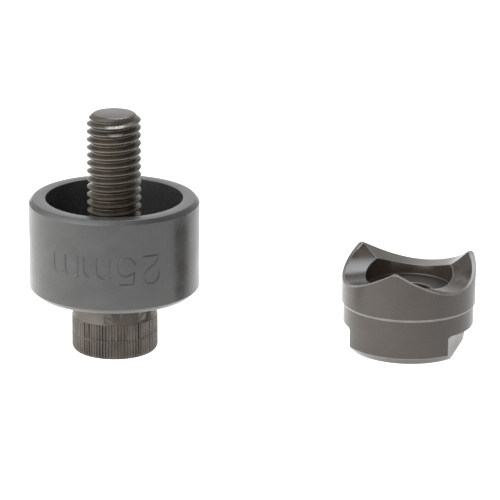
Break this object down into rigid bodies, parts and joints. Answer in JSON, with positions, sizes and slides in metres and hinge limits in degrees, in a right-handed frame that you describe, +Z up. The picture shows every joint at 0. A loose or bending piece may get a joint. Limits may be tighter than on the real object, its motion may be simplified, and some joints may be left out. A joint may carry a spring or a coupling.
{
  "type": "sheet metal hole punch",
  "caption": "Round hole punch for sheet metal: a cup-shaped die on a socket-head draw screw with its thrust washer, and a separate threaded punch with a scalloped cutting crown.",
  "frame": {"origin": "on the draw screw's axis, on the plane that the set stands on (the end face of the screw's head, at the mouth of its hexagon socket)", "axes": "+Z up along the draw screw from its head to its tip, +X from the draw screw and die towards the standing punch, +Y away from the viewer"},
  "size_m": [0.0832, 0.0316, 0.0454],
  "materials": {
    "screw_steel": "black oxide, brownish, knurled head and rolled thread",
    "washer_steel": "hardened and ground, dark",
    "die_steel": "satin black oxide, ground rim",
    "punch_steel": "satin black oxide, ground teeth"
  },
  "bodies": {
    "draw_screw": {"draw_screw": "screw_steel"},
    "thrust_washer": {"thrust_washer": "washer_steel"},
    "die": {"die": "die_steel"},
    "punch": {"punch": "punch_steel"}
  },
  "joints": [
    {"name": "washer_turn", "type": "hinge", "parent": "draw_screw", "child": "thrust_washer", "pos_m": [0, 0, 0.01], "axis": [0, 0, 1], "continuous": true},
    {"name": "die_lift", "type": "slide", "parent": "thrust_washer", "child": "die", "axis": [0, 0, 1], "range_m": [0, 0.036]},
    {"name": "punch_lift", "type": "slide", "parent": "draw_screw", "child": "punch", "axis": [0, 0, 1], "range_m": [0, 0.05]}
  ]
}
